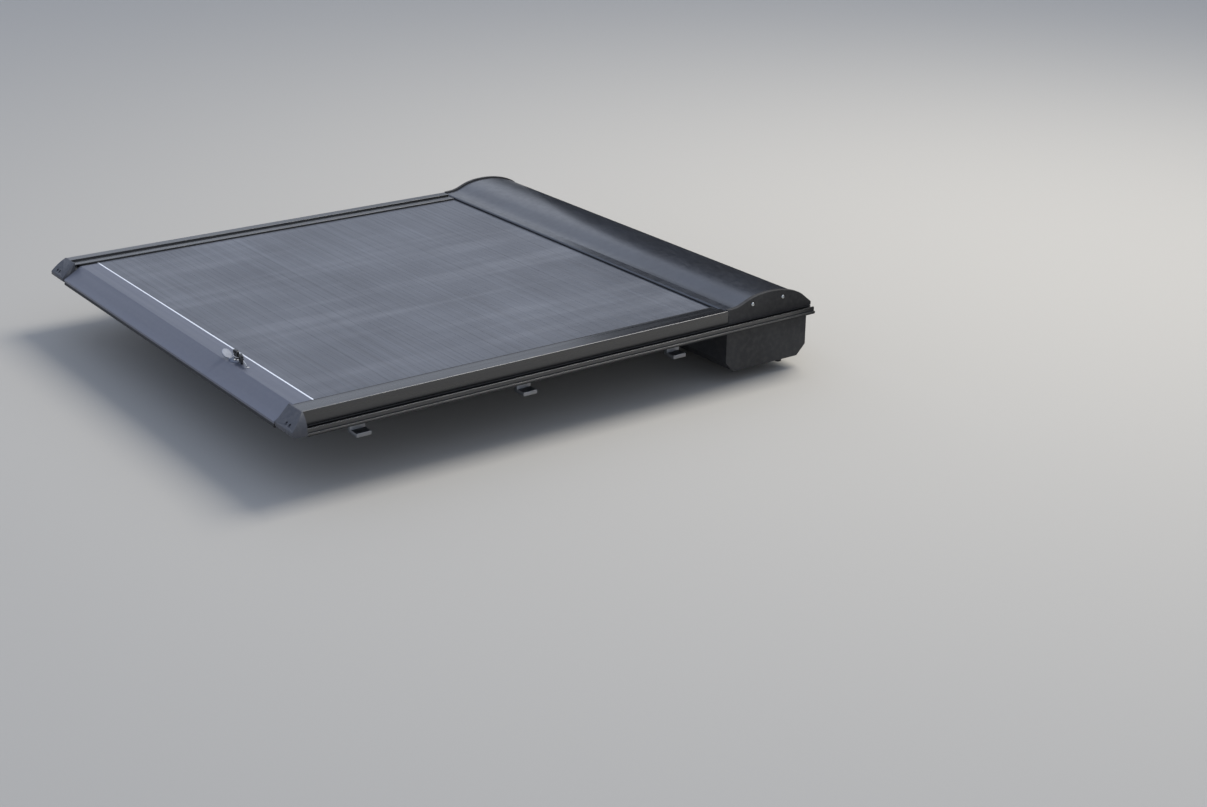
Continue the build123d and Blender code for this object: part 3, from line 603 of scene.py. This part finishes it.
@dataclass(frozen=True)
class HexBolt:
    """Hexagon bolt and nut with chamfered corners and a rolled thread.

    Args:
        across_flats: Spanner size.
        radius: Thread radius.
        pitch: Thread pitch.
        head_height: Height of the bolt's head.
        thread_length: How far the thread reaches down from the bolt's tip.
    """

    across_flats: float = 13.0
    radius: float = 4.0
    pitch: float = 1.25
    head_height: float = 5.3
    thread_length: float = 26.0

    def hexagon(self, low: float, high: float, hole: bool) -> Array:
        """Rings of a hexagon cut by a cone at both faces.

        At an angle a the radius is the smaller of the flat's, s / cos(a folded into 30 degrees either side),
        and the cone's, which grows from s at the face to the corner 1 mm below it.

        Args:
            low: Lower face.
            high: Upper face.
            hole: Whether a bore runs through it.

        Returns:
            Rings about Z, which loop through the bore when there is one.
        """
        around = 48
        angle = np.linspace(0, 2 * np.pi, around, endpoint=False)
        flat = self.across_flats / 2
        hexed = flat / np.cos((angle + np.pi / 6) % (np.pi / 3) - np.pi / 6)
        levels = np.array([low, low, low + 0.4, low + 0.9, high - 0.9, high - 0.4, high, high])
        cone = flat * np.array([0.80, 0.97, 1.07, 1.16, 1.16, 1.07, 0.97, 0.80])
        radius = np.minimum(hexed[None, :], cone[:, None])
        bore = np.full((2, around), self.radius + 0.1)
        if hole:
            radius = np.concatenate((radius, bore))
            levels = np.concatenate((levels, [high, low]))
        return turned(radius, levels, around)

    def shank(self, low: float, thread: float, high: float) -> Array:
        """Rings of a shank whose upper stretch carries a thread.

        The thread's radius is r - 0.6 |2 frac(z / pitch - a / 2 pi) - 1|, a straight-flanked helix.

        Args:
            low: Lower end.
            thread: Where the thread starts.
            high: Upper end.

        Returns:
            Rings about Z.
        """
        around = 24
        angle = np.linspace(0, 2 * np.pi, around, endpoint=False)
        level = np.concatenate(([low], np.arange(thread, high - 0.5, self.pitch / 6), [high]))
        phase = (level[:, None] / self.pitch - angle / (2 * np.pi)) % 1.0
        depth = 0.6 * np.abs(2 * phase - 1)
        depth[0] = 0.0
        depth[-1] = 0.9
        return turned(self.radius - depth, level, around)


@dataclass
class Fasteners:
    """Every visible screw, bolt and nut.

    Args:
        plate_screws: Screws of the canister's end plates.
        cap_screws: Screws of the rails' end caps.
        clamp_bolt: Bolt of a clamp.
    """

    plate_screws: ButtonScrew = ButtonScrew(5.5, 2.8, 2.4, 10.0, 2.1)
    cap_screws: ButtonScrew = ButtonScrew(3.8, 2.6, 1.8, 24.0, 1.5)
    clamp_bolt: HexBolt = HexBolt()

    def build(self) -> None:
        """Build the screws at the places of the CAD solids."""
        self.build_plate_screws()
        self.build_cap_screws()
        self.build_clamp_bolts()

    @staticmethod
    def solids(node: str) -> list[tuple[Array, Array]]:
        """Boxes of a node's separate solids, found by joining vertices that share a place.

        Args:
            node: The CAD node.

        Returns:
            Lowest and highest corner of each solid, in millimetres.
        """
        model = bmesh.new()
        model.from_mesh(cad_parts[node].data)
        bmesh.ops.remove_doubles(model, verts=model.verts, dist=1e-6)
        boxes, left = [], set(model.verts)
        while left:
            island, edge = set(), [left.pop()]
            while edge:
                vertex = edge.pop()
                island.add(vertex)
                near = {e.other_vert(vertex) for e in vertex.link_edges} & left
                left -= near
                edge += near
            spots = np.array([v.co for v in island]) / MM
            boxes.append((spots.min(0), spots.max(0)))
        model.free()
        return sorted(boxes, key=lambda box: tuple(box[0]))

    def build_plate_screws(self) -> None:
        """Bright screws in the canister's end plates, heads outwards."""
        shape = Shape()
        for low, high in self.solids("end_plate_screws"):
            side = 1.0 if low[0] > 0 else -1.0
            seat = (high[0] if side > 0 else -low[0]) - self.plate_screws.head_height
            centre = (low + high) / 2
            turn = Matrix.Rotation(side * math.pi / 2, 4, "Y")
            place = Matrix.Translation((side * seat, centre[1], centre[2])) @ turn
            shape.skin(self.plate_screws.rings(), place=place)
        shape.piece("plate_screws", ZINC, "frame", "zinc_steel", ["end_plate_screws"])

    def build_cap_screws(self) -> None:
        """Dark screws sunk in the end caps, heads to the rear."""
        shape = Shape()
        for low, high in self.solids("end_cap_screws"):
            seat = low[1] + self.cap_screws.head_height
            centre = (low + high) / 2
            place = Matrix.Translation((centre[0], seat, centre[2])) @ Matrix.Rotation(math.pi / 2, 4, "X")
            shape.skin(self.cap_screws.rings(), place=place)
        shape.piece("cap_screws", BLACK_STEEL, "frame", "black_steel", ["end_cap_screws"])

    def build_clamp_bolts(self) -> None:
        """Bolts that pull the clamps up, and their nuts in the rails."""
        bolts, nuts = Shape(), Shape()
        for low, high in self.solids("clamp_bolts"):
            x, y = ((low + high) / 2)[:2]
            place = Matrix.Translation((x, y, 0))
            seat, thread = low[2] + self.clamp_bolt.head_height, high[2] - self.clamp_bolt.thread_length
            bolts.skin(self.clamp_bolt.hexagon(low[2], seat, False), place=place)
            bolts.skin(self.clamp_bolt.shank(seat, thread, high[2]), place=place)
        for low, high in self.solids("clamp_nuts"):
            x, y = ((low + high) / 2)[:2]
            nut = self.clamp_bolt.hexagon(low[2], high[2], True)
            nuts.skin(nut, loop=True, place=Matrix.Translation((x, y, 0)))
        bolts.piece("threaded_clamp_bolts", ZINC, "frame", "zinc_steel", ["clamp_bolts"])
        nuts.piece("chamfered_clamp_nuts", ZINC, "frame", "zinc_steel", ["clamp_nuts"])


# ---- curtain ------------------------------------------------------------------------------------
@dataclass
class Curtain:
    """The slats, with softly rounded joints and a fine rib along the middle of each.

    Args:
        pitch: Distance from one slat to the next.
        per_run: Slats on one body.
        thick: Thickness of a slat.
        joint_depth: Depth of the dip at a joint.
        rib_depth: Depth of the dip along a slat's middle.
        dip_width: Half width of a dip.
        crown: Rise of each half slat's middle above its edges.
    """

    pitch: float = 34.3
    per_run: int = 4
    thick: float = 8.9
    joint_depth: float = 0.32
    rib_depth: float = 0.18
    dip_width: float = 0.65
    crown: float = 0.10

    def outline(self) -> Array:
        """A slat's section, from its rear edge.

        The top is at thick + crown (|sin(2 pi u / pitch)| - 1), lowered by depth times exp(-(u / width) squared)
        about both joints and about the middle. Below it are the rear edge, the flat bottom and the neck that
        reaches the next slat.

        Returns:
            Points (y, z) of the section, starting from zero.
        """
        u = np.concatenate((np.linspace(0.06, 2.5, 9), np.linspace(4, 14.8, 7), np.linspace(15.6, 18.7, 11),
                            np.linspace(19.5, 30.3, 7), np.linspace(31.8, 34.24, 9)))
        dip = sum(depth * np.exp(-((u - place) / self.dip_width) ** 2) for place, depth in
                  ((0.0, self.joint_depth), (self.pitch, self.joint_depth), (self.pitch / 2, self.rib_depth)))
        top = self.thick - self.crown * (1 - np.abs(np.sin(2 * np.pi * u / self.pitch))) - dip
        under = [(33.0, 6.6), (33.0, 4.0), (35.0, 4.0), (35.0, 2.4), (33.0, 2.4), (33.0, 0.4), (32.6, 0.0),
                 (1.2, 0.0), (0.8, 0.4), (0.8, 6.0), (0.06, 6.0)]
        return np.concatenate((np.stack((u, top), -1), np.array(under)))

    def build(self) -> None:
        """Build each run of slats where its CAD solids are."""
        section = self.outline()
        runs = sorted(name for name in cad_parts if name.startswith("slats_"))
        for run in runs:
            low, high = (np.array(corner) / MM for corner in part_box(run))
            shape = Shape()
            for number in range(self.per_run):
                shape.extrude(section + (low[1] - 0.2 + number * self.pitch, low[2]), low[0], high[0], 9)
            shape.piece(run.replace("slats", "slat_run"), SLATS, run, "slat_black", [run])


# ---- lead rail and its seal ---------------------------------------------------------------------
@dataclass
class LeadRail:
    """Seal and ends of the rail that leads the curtain."""

    def build_seal(self) -> None:
        """Hollow-looking bulb seal: a round bulb with a foot that slides into the rail's nose."""
        low, high = (np.array(corner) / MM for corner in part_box("tail_seal"))
        y0, y1, z0, z1 = low[1], high[1], low[2], high[2]
        section = rounded([(y0 + 1.0, z1), (y0 + 1.6, z1 - 2.4), (y0 + 0.1, z1 - 4.4), (y0 + 0.1, z0 + 2.4),
                           (y0 + 2.8, z0 + 0.05), (y0 + 5.4, z0 + 0.6), (y0 + 6.9, z0 + 3.4), (y0 + 6.2, z1 - 4.2),
                           (y0 + 6.0, z1 - 2.2), (y1, z1 - 1.4), (y1, z1)],
                          [0.3, 0.8, 1.6, 2.0, 1.6, 1.6, 2.0, 1.0, 0.6, 0.4, 0.3], 4)
        Shape().extrude(section, low[0], high[0], 9).piece("bulb_seal", RUBBER, "lead_rail", "rubber_black",
                                                            ["tail_seal"])

    def build(self) -> None:
        """Build the seal and round the plugs' edges."""
        self.build_seal()
        for side in ("left", "right"):
            softened(f"shoe_{side}", f"lead_end_{side}", 0.7, GRAINED_ABS, "lead_rail")


# ---- keys ---------------------------------------------------------------------------------------
@dataclass
class Keys:
    """Key in the lock, split ring and spare key.

    Args:
        hole_height: Height of the bow's hole above the lock's face.
        hole_radius: Radius of that hole.
        half_thick: Half the bow's thickness.
        ring_radius: Radius of the ring's centre line.
        ring_tilt: Lean of the ring's axis from upright, in degrees.
        spare_lean: How far the spare key points down.
        spare_yaw: How far the spare key points aside.
    """

    hole_height: float = 19.5
    hole_radius: float = 3.5
    half_thick: float = 3.2
    ring_radius: float = 12.0
    ring_tilt: float = 18.0
    spare_lean: float = 8.0
    spare_yaw: float = -8.0

    def bow(self) -> Array:
        """Moulded head with a raised rim, a ribbed grip and a collar round its hole.

        Across the head, s runs from 0 at the rim to 1 at the hole, and a point is outer + s (hole - outer).
        The half thickness is a quarter circle at both borders, less 0.7 between them, where ribs
        add 0.25 cos(2 pi z / 2.4). The back is the front mirrored, so the rings close on themselves.

        Returns:
            Rings in the XZ plane, base line at z = 0.
        """
        right = [(6.4, 2.05), (6.4, 4.2), (12, 5.5), (12, 26)]
        left = [(-x, z) for x, z in right[::-1]]
        outer = rounded([left[-1], *right, *left[:-1]], [1.0, 1.0, 0.8, 4.0, 7.0, 7.0, 4.0, 0.8], 10)
        centre = np.array((0.0, self.hole_height))
        spoke = outer - centre
        hole = centre + self.hole_radius * spoke / np.linalg.norm(spoke, axis=1, keepdims=True)
        s = np.concatenate((np.array([0.0, 0.005, 0.02, 0.05, 0.09, 0.16, 0.22]), np.linspace(0.27, 0.74, 16),
                            np.array([0.80, 0.86, 0.91, 0.95, 0.98, 1.0])))
        flat = outer[None] + s[:, None, None] * (hole - outer)[None]
        border = np.minimum(s / 0.09, (1 - s) / 0.09).clip(0, 1)
        half = self.half_thick * (0.72 + 0.28 * np.sqrt(1 - (1 - border) ** 2))
        step = np.clip((s - 0.19) / 0.05, 0, 1) * np.clip((0.79 - s) / 0.05, 0, 1)
        ribs = 0.25 * np.cos(2 * np.pi * flat[..., 1] / 2.4)
        depth = half[:, None] - step[:, None] * (0.7 - ribs)
        front = np.stack((flat[..., 0], -depth, flat[..., 1]), -1)
        back = np.stack((flat[..., 0], depth, flat[..., 1]), -1)[::-1]
        return np.concatenate((front, back))

    @staticmethod
    def blade(length: float) -> Array:
        """Flat blade with a milled groove on both faces and cuts along both edges.

        The half width is 3.5 less 0.9 times a clipped cosine of depth, with a period of 4.6.

        Args:
            length: How far the blade reaches below its shoulder line.

        Returns:
            Rings from the head down to the tip.
        """
        level = np.linspace(1.95, -length, 48)
        cuts = 0.9 * np.clip(1.6 * np.cos(2 * np.pi * (level - 2.0) / 4.6), 0, 1) * (level < -3.0)
        tip = np.clip((level + length) / 3.0, 0, 1)
        half = (3.5 - cuts) * (0.35 + 0.65 * np.sqrt(1 - (1 - tip) ** 2))
        side = np.array([-1, -0.45, -0.35, 0.05, 0.15, 1.0])
        thick = np.array([1.1, 1.1, 0.7, 0.7, 1.1, 1.1])
        across = np.concatenate((side, side[::-1]))
        height = np.concatenate((thick, -thick[::-1]))
        rings = np.empty((len(level), len(across), 3))
        rings[..., 0] = half[:, None] * across
        rings[..., 1] = height
        rings[..., 2] = level[:, None]
        return rings

    def ring(self) -> Array:
        """Split ring: two turns of flattened wire, side by side.

        The centre line is (R cos a, R sin a, 0.95 (a / 4 pi - 1/2)) for a from 0 to 4 pi, eased at the crossing,
        and the wire is an ellipse of 0.8 by 0.45.

        Returns:
            Rings along the wire.
        """
        turn = np.linspace(0, 4 * np.pi, 145)
        wire = np.linspace(0, 2 * np.pi, 14, endpoint=False)
        ease = np.tanh((turn / (2 * np.pi) - 1) * 6)
        out, up = 0.8 * np.cos(wire), 0.42 * np.sin(wire)
        reach = self.ring_radius + out[None, :]
        rings = np.empty((len(turn), len(wire), 3))
        rings[..., 0] = reach * np.cos(turn)[:, None]
        rings[..., 1] = reach * np.sin(turn)[:, None]
        rings[..., 2] = 0.45 * ease[:, None] + up
        return rings

    def build(self) -> None:
        """Place the three on the lock's axis, the ring's centre and the ring's far side."""
        lock, ring = middle("lock_cylinder"), middle("key_ring")
        face = (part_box("lock_cylinder")[1].z) / MM
        upright = Matrix.Translation((lock[0], lock[1], face))
        far = (2 * ring[0] - lock[0] + 0.5, ring[1], 2 * ring[2] - (face + self.hole_height) - 0.9)
        spare = (Matrix.Translation(far) @ Matrix.Rotation(math.radians(self.spare_yaw), 4, "Z")
                 @ Matrix.Rotation(math.radians(self.spare_lean - 90), 4, "Y")
                 @ Matrix.Translation((0, 0, -self.hole_height)))
        keys = (("key", "lock_barrel", upright, 9.2), ("spare_key", "key_bunch", spare, 27.0))
        for prefix, body, place, length in keys:
            Shape().skin(self.bow(), loop=True, place=place).piece(
                f"{prefix}_bow", KEY_PLASTIC, body, "key_plastic", [f"{prefix}_head"])
            Shape().skin(self.blade(length), place=place).piece(
                f"{prefix}_cut_blade", NICKEL, body, "nickel", [f"{prefix}_blade"])
        hoop = Matrix.Translation(ring) @ Matrix.Rotation(math.radians(self.ring_tilt), 4, "Y")
        Shape().skin(self.ring(), place=hoop).piece("split_ring", NICKEL, "key_bunch", "nickel", ["key_ring"])


# ---- fixed mouldings and plates -----------------------------------------------------------------
@dataclass
class Mouldings:
    """Parts whose edges are rounded by their making: mouldings, pressed plates and cast blocks."""

    def build(self) -> None:
        """Round each part's edges by what its process leaves."""
        for side in ("left", "right"):
            softened(f"moulded_cap_{side}", f"end_cap_{side}", 1.2, GRAINED_ABS)
            softened(f"pressed_plate_{side}", f"end_plate_{side}", 0.6, MATT_POWDER, least_mm=1.0)
        softened("cast_jaws", "clamp_jaws", 1.0, MILL_ALLOY)
        softened("cast_brackets", "shaft_brackets", 0.8, MILL_ALLOY, least_mm=3.0)


# ---- studio -------------------------------------------------------------------------------------
@dataclass
class Studio:
    """Pale floor, soft light and the camera.

    Args:
        floor_drop: Gap from the object's lowest point to the floor.
        place: Camera position.
        look: Direction of the camera's view.
        roll_deg: Turn of the camera about its view.
        lens_mm: Focal length on a 36 mm wide sensor.
        sky_lean: Direction along which the sky's colours change.
        sky_strength: Strength of the sky.
        sky: Colours of the sky, by their place along that direction.
        flag_centre: X of the dark card's middle.
        flag_half: Half the card's width.
        flag_profile: The card's lower and upper edge, as (y, z).
    """

    floor_drop: float = 0.012
    place: tuple[float, float, float] = (4.4342, -1.8559, 1.7017)
    look: tuple[float, float, float] = (-0.75106, 0.54854, -0.36743)
    roll_deg: float = 0.58
    lens_mm: float = 57.34
    sky_lean: tuple[float, float, float] = (0.0, -0.35, 1.0)
    sky_strength: float = 1.45
    sky: tuple[tuple[float, str], ...] = (
        (0.02, "#16181C"), (0.13, "#C6CDDA"), (0.34, "#CDD4E2"), (0.62, "#8F9AB2"), (0.90, "#98A4BC"))
    flag_centre: float = 0.025
    flag_half: float = 0.975
    flag_profile: tuple[tuple[float, float], ...] = ((1.72, -0.1), (2.05, 0.95))

    def add_camera(self) -> None:
        """Aim the camera along the view direction, then roll it."""
        camera = bpy.data.objects.new("camera", bpy.data.cameras.new("camera"))
        camera.data.sensor_width = 36.0
        camera.data.lens = self.lens_mm
        aim = Vector(self.look).to_track_quat("-Z", "Y").to_matrix()
        turn = Matrix.Rotation(math.radians(self.roll_deg), 3, "Z")
        camera.matrix_world = Matrix.Translation(self.place) @ (aim @ turn).to_4x4()
        bpy.context.scene.collection.objects.link(camera)
        bpy.context.scene.camera = camera

    def add_floor(self, low: float) -> None:
        """A wide pale floor below the object.

        Args:
            low: The object's lowest height.
        """
        mesh = bpy.data.meshes.new("floor")
        size, height = 40.0, low - self.floor_drop
        corners = np.array([(-1, -1, 0), (1, -1, 0), (1, 1, 0), (-1, 1, 0)], float) * size + (0, 0, height)
        mesh.from_pydata(corners.tolist(), [], [(0, 1, 2, 3)])
        floor = bpy.data.objects.new("floor", mesh)
        bpy.context.scene.collection.objects.link(floor)
        material = bpy.data.materials.new("pale_studio_floor")
        material.use_nodes = True
        tree = material.node_tree
        noise = add(tree, "TexNoise", {"Scale": 3.0, "Detail": 2.0})
        tree.links.new(ramp(tree, (noise, "Fac"), ((0.3, "#B4B0A7"), (0.7, "#BBB7AF"))),
                       tree.nodes["Principled BSDF"].inputs["Base Color"])
        tree.nodes["Principled BSDF"].inputs["Roughness"].default_value = 0.9
        mesh.materials.append(material)
        floor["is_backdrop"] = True

    def add_light(self, name: str, place: Sequence[float], size: float, power: float, colour: str) -> None:
        """A square soft light aimed at the middle of the cover.

        Args:
            name: The light's name.
            place: Its position.
            size: Length of its side.
            power: Its power in watts.
            colour: Its hex colour.
        """
        data = bpy.data.lights.new(name, "AREA")
        data.size = size
        data.energy = power
        data.color = linear(colour)[:3]
        light = bpy.data.objects.new(name, data)
        light.visible_camera = False
        aim = (Vector((0.0, 0.8, 0.0)) - Vector(place)).to_track_quat("-Z", "Y").to_matrix()
        light.matrix_world = Matrix.Translation(place) @ aim.to_4x4()
        bpy.context.scene.collection.objects.link(light)

    def add_flag(self) -> None:
        """A dark card beyond the canister, seen only in reflections, as the pickup's cab would be."""
        mesh = bpy.data.meshes.new("cab_flag")
        low, high = self.flag_profile
        left, right = self.flag_centre - self.flag_half, self.flag_centre + self.flag_half
        corners = [(left, *low), (right, *low), (right, *high), (left, *high)]
        mesh.from_pydata(corners, [], [(0, 1, 2, 3)])
        flag = bpy.data.objects.new("cab_flag", mesh)
        bpy.context.scene.collection.objects.link(flag)
        flag.visible_camera = flag.visible_diffuse = flag.visible_shadow = False
        material = bpy.data.materials.new("dark_flag")
        material.use_nodes = True
        shader = material.node_tree.nodes["Principled BSDF"].inputs
        shader["Base Color"].default_value = linear("#0C1018")
        shader["Roughness"].default_value = 1.0
        mesh.materials.append(material)
        flag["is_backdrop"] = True

    def add_sky(self) -> None:
        """Soft light from all round: dim at floor level, brightest a third of the way up, greyer overhead."""
        world = bpy.data.worlds.new("soft_sky")
        world.use_nodes = True
        tree = world.node_tree
        place = add(tree, "TexCoord")
        lean = add(tree, "VectorMath", {0: (place, "Generated"), 1: self.sky_lean}, operation="DOT_PRODUCT")
        colours = ramp(tree, (lean, "Value"), self.sky)
        seen = add(tree, "LightPath")
        mixed = add(tree, "Mix", {"Factor": (seen, "Is Camera Ray"), 6: colours, 7: linear("#F4F5F6")},
                    data_type="RGBA")
        tree.links.new(mixed.outputs[2], tree.nodes["Background"].inputs["Color"])
        tree.nodes["Background"].inputs["Strength"].default_value = self.sky_strength
        bpy.context.scene.world = world

    def build(self, low: float) -> None:
        """Set up camera, floor, sky, dark card and key light.

        Args:
            low: The object's lowest height.
        """
        self.add_camera()
        self.add_floor(low)
        self.add_sky()
        self.add_flag()
        self.add_light("key", (0.6, 3.8, 4.6), 3.0, 260.0, "#FFFBF4")
        bpy.context.scene.view_settings.view_transform = "Standard"
        LOG.info("studio ready")


def main() -> None:
    """Dress the CAD nodes, build the finer pieces and set the stage."""
    logging.basicConfig(level=logging.INFO, format="%(message)s")
    cad_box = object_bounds()
    Studio().build(cad_box[0][2])
    dress_nodes()
    Curtain().build()
    LeadRail().build()
    Keys().build()
    Mouldings().build()
    Fasteners().build()


if __name__ == "__main__":
    main()
